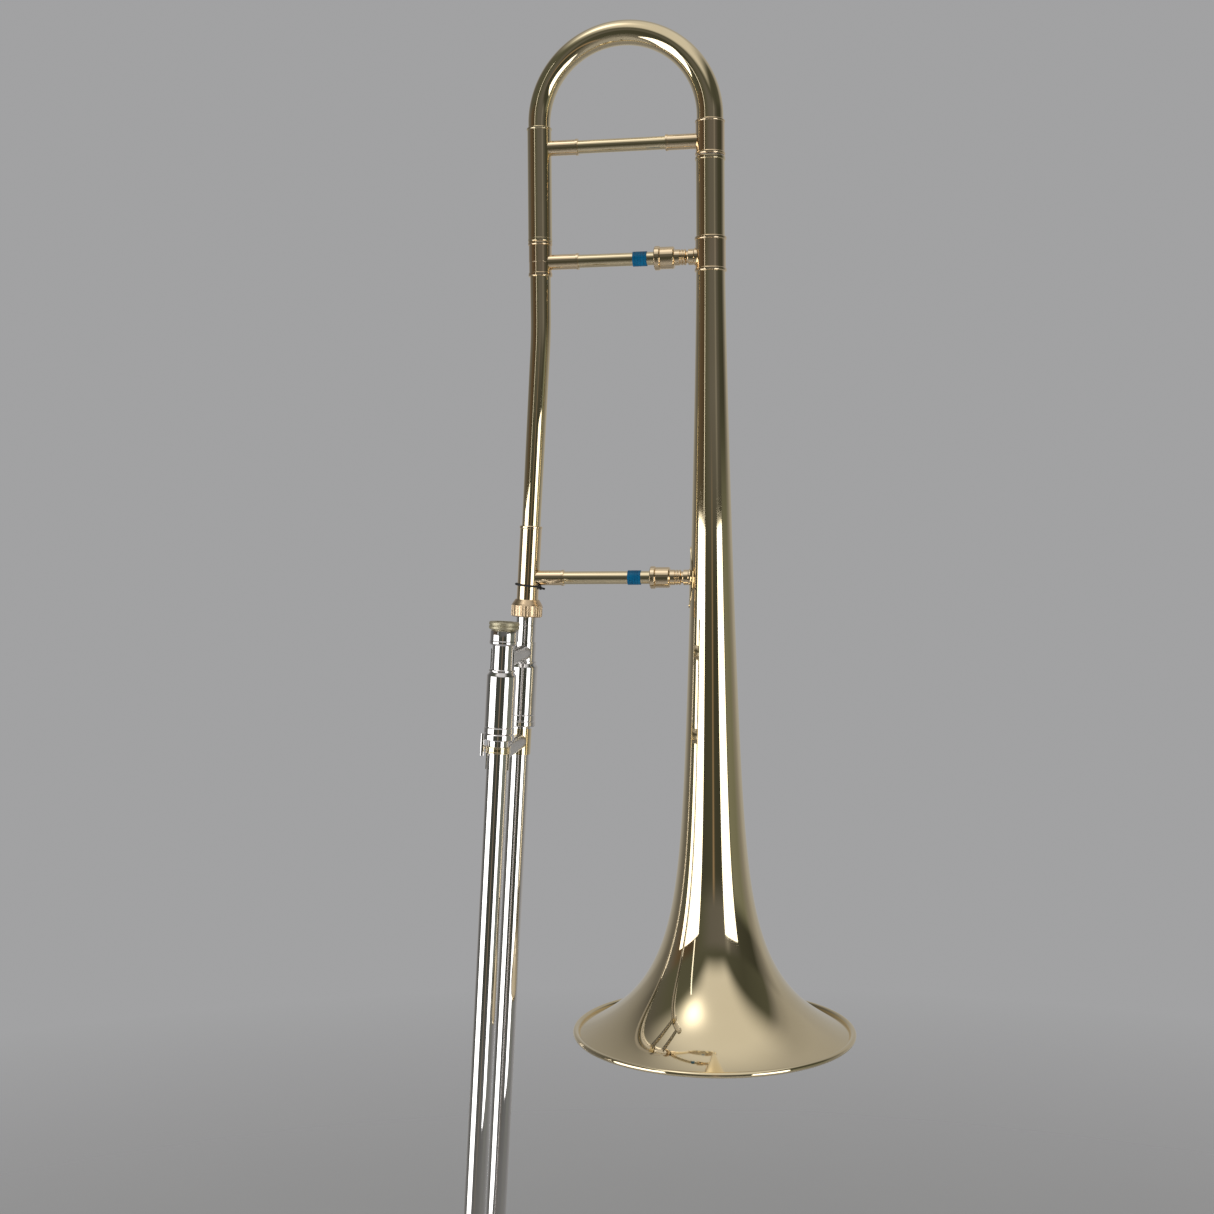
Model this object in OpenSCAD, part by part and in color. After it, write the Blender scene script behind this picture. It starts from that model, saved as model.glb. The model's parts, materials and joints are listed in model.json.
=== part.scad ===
// Straight tenor trombone, bell mouth down, hand slide closed.
// Origin: centre of the bell mouth, on the plane of the rim.
// +Z runs up the bell axis to the tuning bow. The bell section lies in the XZ plane.
// The hand slide hangs at -X, and its mouthpiece side is towards -Y.
// Every size is in millimetres.

/* [Bell] */
// Radius of the bell at the outside of the rim bead
bell_rim_r = 101.6; // [95:0.1:115]
// Outer radius of the straight stem at the top of the bell
bell_stem_r = 10.4; // [9.8:0.1:11]
// Height of the bell from the rim to the top of its taper
bell_taper_h = 545; // [540:1:545]
// Radius that the cone of the bell adds at the rim
bell_cone_r = 16.8; // [12:0.1:20]
// Power that bends the cone of the bell
bell_cone_power = 1.31; // [1:0.01:1.6]
// Height over which the flare dies away
bell_flare_h = 35.6; // [30:0.1:42]
// Power that shapes the flare
bell_flare_power = 0.933; // [0.85:0.001:1.1]
// Thickness of the sheet brass
sheet_t = 0.5; // [0.4:0.05:0.6]
// Radius of the wire rolled into the rim
rim_wire_r = 2.0; // [1.5:0.1:2.5]

/* [Layout] */
// Distance between the centre lines of the bell leg and the neck leg
leg_spacing = 123.5; // [121:0.5:126]
// Height of the centre of the tuning bow
bow_centre_z = 655; // [655:0.5:662]
// Height of the bend in the neckpipe
neck_bend_z = 504; // [500:1:508]
// Lean of the hand slide away from the bell, in degrees
slide_lean = 3.5; // [3:0.1:4]
// Turn of the hand slide about the receiver, in degrees
slide_turn = 2.8; // [0:0.1:5]
// Distance between the two tubes of the hand slide
slide_spacing = 85; // [82:0.5:88]
// Depth of the centre of the slide bow below the bend, along the slide
slide_bow_depth = 911; // [880:1:925]

/* [Tuning slide] */
// Outer radius of the tuning bow at the bell leg
bow_r_bell = 9.5; // [9.3:0.05:9.55]
// Outer radius of the tuning bow at the neck leg
bow_r_neck = 7.95; // [7.7:0.05:8]
// Radial clearance of the tuning slide legs
tuning_gap = 0.1; // [0.05:0.01:0.1]

/* [Hand slide] */
// Outer radius of the outer slide tubes
outer_tube_r = 7.4; // [7.35:0.05:7.5]
// Bore radius of the outer slide tubes
outer_bore_r = 7.1; // [7.08:0.01:7.1]
// Outer radius of the inner slide tubes
inner_tube_r = 6.9; // [6.85:0.01:6.9]
// Outer radius of the stockings at the foot of the inner tubes
stocking_r = 7.01; // [7:0.005:7.03]
// Bore radius of the inner slide tubes
inner_bore_r = 6.65; // [6.6:0.01:6.67]
// Length of each stocking
stocking_len = 110; // [90:1:130]
// Bore radius of the mouth of the leadpipe, where the mouthpiece seats
mouthpiece_bore_r = 6.35; // [6.2:0.01:6.4]

/* [Braces] */
// Height of the brace of the tuning slide
tuning_brace_z = 637.6; // [636:0.1:640]
// Height of the upper bell brace
upper_brace_z = 556.2; // [556:0.1:558.5]
// Height of the lower bell brace
lower_brace_z = 328.5; // [325:0.5:340]
// Outer radius of the brace tubes
brace_r = 4.7; // [4.2:0.1:4.8]
// Outer radius of the brace sockets
socket_r = 5.45; // [5.3:0.05:5.6]

/* [Hidden] */
$fn = 96;
eps = 0.01;

// Colours
BRASS = "#d9c684";
ROSE = "#e0c49c";
SATIN = "#d2ab74";
NICKEL = "#d6d4d2";
BRIGHT = "#ebeaea";
BLUE = "#0a64a4";
BLACK = "#1c1c1e";
CORK = "#b98d5b";
FELT = "#5b5750";

// Bell
lip_z = 0.6;
bell_flare_r = bell_rim_r - bell_stem_r - bell_cone_r;
bell_steps = 64;
seam_step = 37;
seam_gap = 0.02;
bell_top_z = 557;
rim_wire_ring_r = bell_rim_r - rim_wire_r;

// Ferrules and rings on the bell leg
bell_ferrule_z = [545, 569.8];
bell_ferrule_r = 10.85;
end_ring_h = 2.6;
end_ring_proud = 0.55;
leg_tube_r = 10.2;
leg_bore_r = 9.7;
leg_ring_z = [623.2, 625.7];
leg_ring_r = 10.75;

// Ferrules and rings on the neck leg
neck_ferrule_z = [546, 568.0];
neck_ferrule_r = 8.15;
neck_leg_r = 8.05;
neck_leg_bore_r = 7.5;
neck_leg_top_z = 645;
neck_ring_z = [568.2, 570.6];
neck_ring_r = 8.8;

// Neckpipe
neck_r_top = 7.5;
neck_r_bottom = 6.75;
neck_len = 200;
neck_bend_r = 420;
neck_top_z = 556;
neck_sides = 40;

// Tuning slide
bow_ring_r = leg_spacing / 2;
bow_sides = 36;
bow_step = 6;
bow_foot_z = 650.5;
sleeve_bore_r = neck_leg_r + tuning_gap;
sleeve_r = 8.65;
sleeve_z = [570.9, 652.4];
ferrule_z = [627.0, 651.6];
ferrule_r = 10.3;
ferrule_ring_r = 10.75;
tuning_leg_r = leg_bore_r - tuning_gap;
tuning_leg_bore_r = 9.0;
tuning_leg_foot_z = 572;

// Stations along the slide, measured from the bend and negative downwards
receiver_top = -138;
receiver_lip_h = 2.2;
receiver_r = 7.9;
receiver_foot = -200;
band_s = -181;
nut_top = -191.5;
nut_foot = -204.1;
nut_r = 11.3;
tenon_top = -152;
tenon_r = 7.35;
tenon_taper_r = [6.9, 7.0];
inner_top = -212;
inner_foot = -903;
mouth_top = -203.8;
collar_h = 5.4;
mouth_receiver_foot = -219.8;
barrel_top = -239;
barrel_ring_s = [-279.6, -275.4];
barrel_foot = -284;
barrel_r = 10.1;
barrel_ring_r = 10.35;
barrel_collar_r = 10.6;
barrel_bore_r = 9.3;
barrel_guide_r = 7.9;
spigot_r = 9.0;
outer_top = -261.8;
inner_brace_s = -230.3;
inner_saddle_s = [-236.1, -222.3];
hand_brace_s = -295;
hand_saddle_s = [-304.5, -285.6];
catch_s = -290.8;
bow_s = -slide_bow_depth;

// Brace along the X axis: places measured from the centre of the bell leg
upper_marks = [-95.1, -55.6, -45.4, -40, -36, -25.8, -17.6, -15.6, -11.2];
lower_marks = [-107.7, -60.7, -51.2, -44.3, -40.6, -30.2, -22.4, -20.2, -16.2];
thread_r = 6.2;

// ---------- Helpers ----------

// A solid turned about Z from points of [radius, height]
module turned(points) {
    rotate_extrude() polygon(points);
}

// A straight tube about Z
module tube(r, bore, z0, z1) {
    difference() {
        translate([0, 0, z0]) cylinder(r = r, h = z1 - z0);
        translate([0, 0, z0 - 1]) cylinder(r = bore, h = z1 - z0 + 2);
    }
}

// A raised ring with a rounded edge, on a seat of radius seat
module bead(seat, proud, z0, h) {
    round_r = min(h / 2, proud) * 0.8;
    root = seat - 0.3;
    difference() {
        rotate_extrude() {
            translate([root, z0]) square([seat + proud - round_r - root, h]);
            translate([root, z0 + round_r]) square([seat + proud - root, h - 2 * round_r]);
            translate([seat + proud - round_r, z0 + round_r]) circle(r = round_r, $fn = 32);
            translate([seat + proud - round_r, z0 + h - round_r]) circle(r = round_r, $fn = 32);
        }
        translate([0, 0, z0 - 1]) cylinder(r = seat, h = h + 2);
    }
}

// A tube swept through rings given as [centre, direction of radius, outer radius, inner radius]
module swept(rings, sides) {
    n = len(rings);
    outer = [for (g = rings) for (j = [0:sides - 1]) swept_point(g, g[2], 360 * j / sides)];
    inner = [for (g = rings) for (j = [0:sides - 1]) swept_point(g, g[3], 360 * j / sides)];
    half = n * sides;
    walls = [for (i = [0:n - 2]) for (j = [0:sides - 1]) let (k = (j + 1) % sides)
        [i * sides + j, (i + 1) * sides + j, (i + 1) * sides + k, i * sides + k]];
    bores = [for (w = walls) [w[3] + half, w[2] + half, w[1] + half, w[0] + half]];
    foot = [for (j = [0:sides - 1]) let (k = (j + 1) % sides) [j, k, k + half, j + half]];
    top = [for (j = [0:sides - 1]) let (k = (j + 1) % sides, m = (n - 1) * sides)
        [m + k, m + j, m + j + half, m + k + half]];
    polyhedron(points = concat(outer, inner), faces = concat(walls, bores, foot, top));
}
function swept_point(g, r, a) = g[0] + r * cos(a) * g[1] + [0, r * sin(a), 0];

// Places
module at_neck_leg() {
    translate([-leg_spacing, 0, 0]) children();
}
module at_slide() {
    translate([-leg_spacing, 0, neck_bend_z]) rotate([0, slide_lean, 0]) rotate([0, 0, slide_turn])
        children();
}
module at_mouth_side() {
    at_slide() translate([0, -slide_spacing, 0]) children();
}
module both_slide_tubes() {
    at_slide() children();
    at_mouth_side() children();
}
// Children turned about Z come to lie along X, with their height as X
module along_x(z) {
    translate([0, 0, z]) rotate([0, 90, 0]) children();
}
// Children turned about Z come to lie along the slide's Y, with their height as Y
module along_y(s) {
    translate([0, 0, s]) rotate([-90, 0, 0]) children();
}

// ---------- Bell section ----------

function bell_r(z) = bell_stem_r
    + bell_cone_r * pow(max(0, 1 - z / bell_taper_h), bell_cone_power)
    + bell_flare_r * exp(-pow(z / bell_flare_h, bell_flare_power));
function bell_slope(z) = (bell_r(z + eps) - bell_r(z)) / eps;
function bell_station(i) = lip_z + (bell_taper_h - lip_z) * pow(i / bell_steps, 2);
function bell_inner(z) = let (m = bell_slope(z), k = sheet_t / sqrt(1 + m * m))
    [bell_r(z) - k, z + k * m];

// The bell is two sheets, spun flare and rolled stem, brazed edge to edge at the seam
module bell_flare() {
    outer = [for (i = [0:seam_step]) let (z = bell_station(i)) [bell_r(z), z]];
    inner = [for (i = [seam_step:-1:0]) bell_inner(bell_station(i))];
    color(BRASS) turned(concat(outer, inner));
}

module bell_stem() {
    foot_z = bell_station(seam_step) + seam_gap;
    outer = [for (i = [seam_step:bell_steps]) let (z = max(foot_z, bell_station(i))) [bell_r(z), z]];
    inner = [for (i = [bell_steps:-1:seam_step]) bell_inner(max(foot_z, bell_station(i)))];
    end = [[bell_stem_r, bell_top_z], [bell_stem_r - sheet_t, bell_top_z]];
    color(BRASS) turned(concat(outer, end, inner));
}

module bell_rim_wire() {
    color(BRASS) rotate_extrude() translate([rim_wire_ring_r, rim_wire_r]) circle(r = rim_wire_r, $fn = 48);
}

module bell_ferrule() {
    z0 = bell_ferrule_z[0];
    z1 = bell_ferrule_z[1];
    proud = bell_ferrule_r + end_ring_proud - bell_stem_r;
    color(ROSE) {
        tube(bell_ferrule_r, bell_stem_r, z0 + 0.6, bell_top_z);
        tube(bell_ferrule_r, leg_tube_r, bell_top_z, z1 - 0.6);
        bead(bell_stem_r, proud, z0, end_ring_h);
        bead(bell_stem_r, proud, z1 - end_ring_h, end_ring_h);
        tube(bell_stem_r + 0.2, leg_tube_r, z1 - end_ring_h, z1);
    }
}

module bell_leg() {
    color(BRASS) {
        tube(leg_tube_r, leg_bore_r, bell_top_z + 0.2, leg_ring_z[1]);
        bead(leg_tube_r - 0.1, leg_ring_r - leg_tube_r + 0.1, leg_ring_z[0], leg_ring_z[1] - leg_ring_z[0]);
    }
}

// Rings of the neckpipe from the ferrule down to the receiver
neck_arc_z = neck_bend_z + neck_bend_r * tan(slide_lean / 2);
neck_foot = receiver_top - 9.5;
function neck_radius(u) = neck_r_top + (neck_r_bottom - neck_r_top) * u;
function neck_arc_ring(t) = let (u = (neck_top_z - neck_arc_z + neck_bend_r * sin(t)) / neck_len)
    neck_ring(-leg_spacing - neck_bend_r * (1 - cos(t)), neck_arc_z - neck_bend_r * sin(t), t, u);
function neck_ring(x, z, t, u) =
    [[x, 0, z], [cos(t), 0, -sin(t)], neck_radius(u), neck_radius(u) - sheet_t];
function neck_straight(s) = let (u = (neck_top_z - neck_bend_z - s) / neck_len)
    neck_ring(-leg_spacing + s * sin(slide_lean), neck_bend_z + s * cos(slide_lean), slide_lean, u);

module neckpipe() {
    rings = concat([neck_straight(neck_foot), neck_straight(-90)],
        [for (i = [6:-1:0]) neck_arc_ring(slide_lean * i / 6)],
        [neck_ring(-leg_spacing, neck_top_z, 0, 0)]);
    color(BRASS) swept(rings, neck_sides);
}

module neckpipe_ferrule() {
    z0 = neck_ferrule_z[0];
    z1 = neck_ferrule_z[1];
    color(ROSE) at_neck_leg() {
        tube(neck_ferrule_r, neck_r_top, z0, neck_top_z + 0.2);
        tube(neck_ferrule_r + 0.15, neck_leg_r, neck_top_z, z1);
        bead(neck_ferrule_r - 0.1, 0.6, z0, end_ring_h);
    }
}

module neck_leg() {
    h = neck_ring_z[1] - neck_ring_z[0];
    color(ROSE) at_neck_leg() {
        tube(neck_leg_r, neck_leg_bore_r, neck_top_z + 0.4, neck_leg_top_z);
        bead(neck_leg_r - 0.1, neck_ring_r - neck_leg_r + 0.1, neck_ring_z[0], h);
    }
}

neck_mouth_r = neck_straight(receiver_top)[2] + 0.02;
module slide_receiver() {
    color(ROSE) at_slide() turned([
        [neck_mouth_r, receiver_top], [receiver_r + 0.1, receiver_top],
        [receiver_r + 0.4, receiver_top - 0.5], [receiver_r + 0.4, receiver_top - receiver_lip_h + 0.4],
        [receiver_r, receiver_top - receiver_lip_h], [receiver_r, receiver_foot],
        [tenon_taper_r[1] + 0.06, receiver_foot], [tenon_taper_r[1] + 0.06, tenon_top + 2],
        [neck_mouth_r, tenon_top + 2]]);
}

// A thin elastic ring that sits askew on the receiver, with its knot
module receiver_band() {
    band_r = 0.75;
    ring_r = receiver_r + band_r + 0.25;
    knot_r = 1.35;
    knot_drop = 1.25;
    color(BLACK) at_slide() translate([0, 0, band_s]) rotate([2, 3, 0]) {
        rotate_extrude() translate([ring_r, 0]) circle(r = band_r, $fn = 24);
        translate([ring_r + 0.4, 0.6, -knot_drop]) sphere(r = knot_r, $fn = 32);
        translate([ring_r + 1, 0.8, -knot_drop]) rotate([0, 98, 0]) cylinder(r = band_r, h = 2.6, $fn = 24);
    }
}

// ---------- Bell braces ----------
// marks: socket end, tape start, tape end, nut rim, nut body, nut end, stem end, flange start, flange end

module brace_socket(z, from_x, to_x, leg_r) {
    color(ROSE) difference() {
        along_x(z) {
            translate([0, 0, from_x]) cylinder(r = socket_r, h = to_x - from_x);
            translate([0, 0, to_x - 1.6]) cylinder(r = socket_r + 0.45, h = 1.6);
        }
        along_x(z) translate([0, 0, to_x - 12]) cylinder(r = brace_r, h = 13);
        children();
    }
}

module brace_tube(z, marks) {
    start = marks[0] - 11.5;
    end = marks[4] + 6.2;
    color(BRASS) along_x(z) {
        tube(brace_r, brace_r - 0.6, start, end);
        tube(thread_r - 0.2, brace_r - 0.2, end - 2.2, end);
    }
}

module brace_tape(z, marks, ridges) {
    pitch = (marks[2] - marks[1]) / ridges;
    color(BLUE) along_x(z) for (i = [0:ridges - 1]) {
        tube(brace_r + 0.55, brace_r + 0.02, marks[1] + pitch * i, marks[1] + pitch * (i + 0.82));
        tube(brace_r + 0.35, brace_r + 0.02, marks[1] + pitch * i, marks[1] + pitch * (i + 1));
    }
}

module brace_nut(z, marks, r, rim_r) {
    cavity = marks[4] + 3.6;
    color(ROSE) along_x(z) turned([
        [brace_r + 0.3, marks[3]], [rim_r - 0.5, marks[3]], [rim_r, marks[3] + 0.5],
        [rim_r, marks[4] - 0.5], [rim_r - 0.4, marks[4]], [r - 0.4, marks[4]],
        [r, marks[4] + 0.5], [r, marks[5] - 0.7], [r - 0.6, marks[5]],
        [thread_r + 0.08, marks[5]], [thread_r + 0.08, cavity], [brace_r + 0.3, cavity]]);
}

// Stem: thread inside the nut, then a turned post with two grooves, a neck and a flange
module brace_stem(z, marks, post_r) {
    thread_start = marks[4] + 6.5;
    color(ROSE) along_x(z) difference() {
        turned([
            [0, thread_start], [thread_r, thread_start], [thread_r, marks[5]], [post_r, marks[5] + 0.3],
            [post_r, marks[6] - 4.2], [post_r - 0.5, marks[6] - 3.9], [post_r - 0.5, marks[6] - 3.3],
            [post_r, marks[6] - 3.0], [post_r, marks[6] - 2.2], [post_r - 0.5, marks[6] - 1.9],
            [post_r - 0.5, marks[6] - 1.3], [post_r, marks[6] - 1.0], [post_r, marks[6]],
            [post_r - 1.3, marks[6] + 0.6], [post_r - 1.3, marks[7] - 0.5], [post_r, marks[7]],
            [post_r, marks[8] - 0.6], [post_r + 0.7, marks[8]], [post_r + 0.7, 0], [0, 0]]);
        rotate([0, -90, 0]) translate([0, 0, -z]) children();
    }
}

module upper_brace_socket() {
    brace_socket(upper_brace_z, -leg_spacing, upper_marks[0], neck_ferrule_r)
        at_neck_leg() cylinder(r = neck_ferrule_r + 0.15, h = 700);
}
module upper_brace_tube() {
    brace_tube(upper_brace_z, upper_marks);
}
module upper_brace_tape() {
    brace_tape(upper_brace_z, upper_marks, 5);
}
module upper_brace_nut() {
    brace_nut(upper_brace_z, upper_marks, 7.9, 8.6);
}
module upper_brace_stem() {
    brace_stem(upper_brace_z, upper_marks, 5.7) cylinder(r = bell_ferrule_r, h = 700);
}

module lower_brace_socket() {
    brace_socket(lower_brace_z, -leg_spacing - 11, lower_marks[0], receiver_r)
        at_slide() translate([0, 0, -300]) cylinder(r = receiver_r, h = 300);
}
module lower_brace_tube() {
    brace_tube(lower_brace_z, lower_marks);
}
module lower_brace_tape() {
    brace_tape(lower_brace_z, lower_marks, 5);
}
module lower_brace_nut() {
    brace_nut(lower_brace_z, lower_marks, 7.5, 8.2);
}
module lower_brace_stem() {
    brace_stem(lower_brace_z, lower_marks, 5.6) plate_zone();
}

// The long oval plate that spreads the load of the brace over the bell
plate_h = 44;
plate_w = 17;
plate_t = 0.7;
plate_steps = 12;
function plate_z(i) = lower_brace_z - plate_h / 2 - 4 + (plate_h + 8) * i / plate_steps;
function plate_side(gap) = [for (i = [0:plate_steps]) [bell_r(plate_z(i)) + gap, plate_z(i)]];

module plate_zone() {
    turned(concat([[0, plate_z(0)]], plate_side(plate_t), [[0, plate_z(plate_steps)]]));
}
module lower_brace_plate() {
    inner = plate_side(0.02);
    color(BRASS) intersection() {
        turned(concat(plate_side(plate_t), [for (i = [plate_steps:-1:0]) inner[i]]));
        translate([-40, 0, lower_brace_z]) rotate([0, 90, 0]) scale([plate_h / plate_w, 1, 1])
            cylinder(r = plate_w / 2, h = 40);
    }
}

// ---------- Receiver nut ----------

flutes = 30;
module receiver_nut() {
    h = nut_top - nut_foot;
    color(SATIN) at_slide() difference() {
        turned([
            [receiver_r + 0.3, nut_top], [nut_r - 2.6, nut_top], [nut_r - 0.6, nut_top - 3.2],
            [nut_r, nut_top - 4.4], [nut_r, nut_foot + 0.8], [nut_r - 0.8, nut_foot],
            [tenon_r + 0.3, nut_foot], [tenon_r + 0.3, nut_foot + 2.2], [receiver_r + 0.9, nut_foot + 2.2],
            [receiver_r + 0.9, receiver_foot + 2.2], [receiver_r + 0.3, receiver_foot + 2.2]]);
        for (i = [0:flutes - 1]) rotate([0, 0, 360 * (i + 0.5) / flutes])
            translate([nut_r + 0.48, 0, nut_foot - 1]) cylinder(r = 0.75, h = h - 3.4, $fn = 24);
    }
}

// ---------- Tuning slide ----------

function bow_radius(u) = bow_r_bell + (bow_r_neck - bow_r_bell) * u;
function bow_ring(x, z, a, u) = [[x, 0, z], [cos(a), 0, sin(a)], bow_radius(u), bow_radius(u) - sheet_t];
function bow_arc_ring(a) =
    bow_ring(-bow_ring_r * (1 - cos(a)), bow_centre_z + bow_ring_r * sin(a), a, a / 180);

module tuning_bow() {
    rings = concat([bow_ring(0, bow_foot_z, 0, 0)], [for (a = [0:bow_step:180]) bow_arc_ring(a)],
        [bow_ring(-leg_spacing, bow_foot_z, 180, 1)]);
    color(BRASS) swept(rings, bow_sides);
}

module tuning_sleeve() {
    ring_h = 2.4;
    color(BRASS) at_neck_leg() {
        tube(sleeve_r, sleeve_bore_r, sleeve_z[0], bow_foot_z);
        tube(sleeve_r, bow_r_neck + 0.02, bow_foot_z, sleeve_z[1] - 0.6);
        bead(sleeve_bore_r + 0.1, neck_ring_r - sleeve_bore_r - 0.1, sleeve_z[0], ring_h);
        bead(bow_r_neck + 0.05, sleeve_r + 0.4 - bow_r_neck, sleeve_z[1] - 2, 2);
    }
}

module tuning_ferrule() {
    z0 = ferrule_z[0];
    z1 = ferrule_z[1];
    color(ROSE) {
        tube(ferrule_r, tuning_leg_r, z0 + 0.4, bow_foot_z - 0.3);
        tube(ferrule_r, bow_r_bell + 0.02, bow_foot_z - 0.3, z1 - 0.5);
        bead(tuning_leg_r, ferrule_ring_r - tuning_leg_r, z0 - 0.2, 2.2);
        bead(bow_r_bell + 0.05, ferrule_r + 0.35 - bow_r_bell, z1 - 2, 2);
    }
}

module tuning_leg() {
    color(NICKEL) tube(tuning_leg_r, tuning_leg_bore_r, tuning_leg_foot_z, bow_foot_z - 1);
}

tuning_socket_x = [-95, -31.6];
module tuning_brace_socket_neck() {
    brace_socket(tuning_brace_z, -leg_spacing, tuning_socket_x[0], sleeve_r)
        at_neck_leg() cylinder(r = sleeve_r, h = 700);
}
module tuning_brace_socket_bell() {
    color(ROSE) translate([0, 0, tuning_brace_z]) mirror([1, 0, 0]) translate([0, 0, -tuning_brace_z])
        brace_socket(tuning_brace_z, 0, -tuning_socket_x[1], ferrule_r) cylinder(r = ferrule_r, h = 700);
}
module tuning_brace_tube() {
    color(BRASS) along_x(tuning_brace_z)
        tube(brace_r, brace_r - 0.6, tuning_socket_x[0] - 11.5, tuning_socket_x[1] + 11.5);
}

// ---------- Inner slide ----------

module slide_tenon() {
    taper = tenon_taper_r;
    collar_s = nut_foot + 2.4;
    color(BRIGHT) at_slide() turned([
        [inner_bore_r - 0.3, tenon_top], [taper[0], tenon_top], [taper[1], receiver_foot - 0.2],
        [receiver_r + 0.6, receiver_foot - 0.2], [receiver_r + 0.6, collar_s], [tenon_r, collar_s],
        [tenon_r, -209.8], [tenon_r - 0.25, -210.0], [tenon_r - 0.25, -210.4], [tenon_r, -210.6],
        [tenon_r, barrel_top], [inner_tube_r, barrel_top], [inner_tube_r, inner_top],
        [inner_bore_r - 0.3, inner_top]]);
}

module mouthpiece_receiver() {
    top = mouth_top - collar_h - 0.4;
    foot = mouth_receiver_foot;
    color(BRIGHT) at_mouth_side() turned([
        [7.75, top], [8.6, top], [9.1, top - 0.5], [9.3, top - 1.2], [9.3, foot + 3.2], [9.55, foot + 2.6],
        [9.55, foot + 1.2], [9.2, foot + 0.5], [8.4, foot], [tenon_r, foot], [tenon_r, barrel_top],
        [inner_tube_r, barrel_top], [inner_tube_r, inner_top - 4], [7.75, inner_top - 4]]);
}

module inner_tube(top) {
    turned([
        [inner_bore_r, top], [inner_tube_r, top],
        [inner_tube_r, inner_foot + stocking_len + 2], [stocking_r, inner_foot + stocking_len],
        [stocking_r, inner_foot + 0.3], [stocking_r - 0.15, inner_foot], [inner_bore_r, inner_foot]]);
}
module inner_tube_mouthpiece_side() {
    color(BRIGHT) at_mouth_side() inner_tube(inner_top - 4);
}
module inner_tube_bell_side() {
    color(BRIGHT) at_slide() inner_tube(inner_top);
}

// A bar between the two slide tubes, with its ends cut to the tubes
module slide_bar(s, r, side_r, wall) {
    at_slide() difference() {
        along_y(s) translate([0, 0, -slide_spacing]) tube(r, r - wall, 0, slide_spacing);
        for (y = [0, -slide_spacing]) translate([0, y, s - 20]) cylinder(r = side_r, h = 40);
    }
}
// Saddles that wrap the inner half of both slide tubes round the bar's ends
module slide_saddles(s, ends, seat_r, t, bar_r) {
    h = ends[1] - ends[0];
    at_slide() difference() {
        for (y = [0, -slide_spacing]) translate([0, y, ends[0]]) intersection() {
            cylinder(r = seat_r + t, h = h);
            translate([-20, y == 0 ? -19 : -1, -1]) cube([40, 20, h + 2]);
        }
        for (y = [0, -slide_spacing]) translate([0, y, ends[0] - 1]) cylinder(r = seat_r, h = h + 2);
        along_y(s) translate([0, 0, -slide_spacing]) cylinder(r = bar_r, h = slide_spacing);
    }
}

inner_bar_r = 5.7;
module inner_brace_bar() {
    color(NICKEL) slide_bar(inner_brace_s, inner_bar_r, tenon_r, 0.8);
}
module inner_brace_saddles() {
    color(BRIGHT) slide_saddles(inner_brace_s, inner_saddle_s, tenon_r, 0.7, inner_bar_r);
}

// Cork barrel: neck ring, shoulder, body and end ring; foot lists the points of its foot
module cork_barrel(foot) {
    ring = barrel_ring_s;
    turned(concat([
        [inner_tube_r + 0.02, barrel_top - 2], [inner_tube_r + 0.02, barrel_top - 0.02],
        [tenon_r + 0.02, barrel_top - 0.02], [tenon_r + 0.02, barrel_top + 2.8],
        [8.7, barrel_top + 2.8], [9.0, barrel_top + 2.3], [9.0, barrel_top + 1.6],
        [8.5, barrel_top + 1.1], [8.7, barrel_top + 0.6], [barrel_r - 0.3, barrel_top - 0.9],
        [barrel_r, barrel_top - 1.7], [barrel_r, ring[1] + 0.4], [barrel_r - 0.25, ring[1] + 0.2],
        [barrel_r - 0.25, ring[1]], [barrel_ring_r, ring[1] - 0.5], [barrel_ring_r, ring[0] + 0.4],
        [barrel_r - 0.1, ring[0]]], foot, [
        [barrel_guide_r, ring[1] - 1.6], [barrel_bore_r, ring[1] - 1], [barrel_bore_r, barrel_top - 2]]));
}
module cork_barrel_mouthpiece_side() {
    color(BRIGHT) at_mouth_side() cork_barrel([
        [spigot_r, barrel_ring_s[0]], [spigot_r, barrel_foot + 0.4],
        [spigot_r - 0.4, barrel_foot], [barrel_guide_r, barrel_foot]]);
}
module cork_barrel_bell_side() {
    color(BRIGHT) at_slide() cork_barrel([
        [barrel_r - 0.1, barrel_ring_s[0] - 0.4], [barrel_collar_r, barrel_ring_s[0] - 0.9],
        [barrel_collar_r, barrel_foot + 0.8], [barrel_collar_r - 0.5, barrel_foot],
        [barrel_guide_r, barrel_foot]]);
}

felt_s = [-261.4, -257.2];
module barrel_felts() {
    color(FELT) both_slide_tubes() tube(barrel_bore_r - 0.1, inner_tube_r + 0.15, felt_s[0], felt_s[1]);
}

// Soft coil springs behind the felts
spring_turns = 4;
spring_wire_r = 0.55;
spring_ring_r = 8.1;
spring_top = barrel_top - 2 - spring_wire_r;
spring_foot = felt_s[1] + spring_wire_r;
spring_steps = 20;
spring_sides = 8;
function coil_point(i, j, ring_r, wire_r, z0, z1, turns, steps, sides) =
    let (a = 360 * i / steps, b = 360 * j / sides, z = z0 + (z1 - z0) * i / (steps * turns))
    [(ring_r + wire_r * cos(b)) * cos(a), (ring_r + wire_r * cos(b)) * sin(a), z + wire_r * sin(b)];
module coil(ring_r, wire_r, z0, z1, turns, steps, sides) {
    n = steps * turns + 1;
    points = [for (i = [0:n - 1]) for (j = [0:sides - 1])
        coil_point(i, j, ring_r, wire_r, z0, z1, turns, steps, sides)];
    walls = [for (i = [0:n - 2]) for (j = [0:sides - 1]) let (k = (j + 1) % sides)
        [i * sides + j, i * sides + k, (i + 1) * sides + k, (i + 1) * sides + j]];
    ends = [[for (j = [sides - 1:-1:0]) j], [for (j = [0:sides - 1]) (n - 1) * sides + j]];
    polyhedron(points = points, faces = concat(walls, ends));
}
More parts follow.
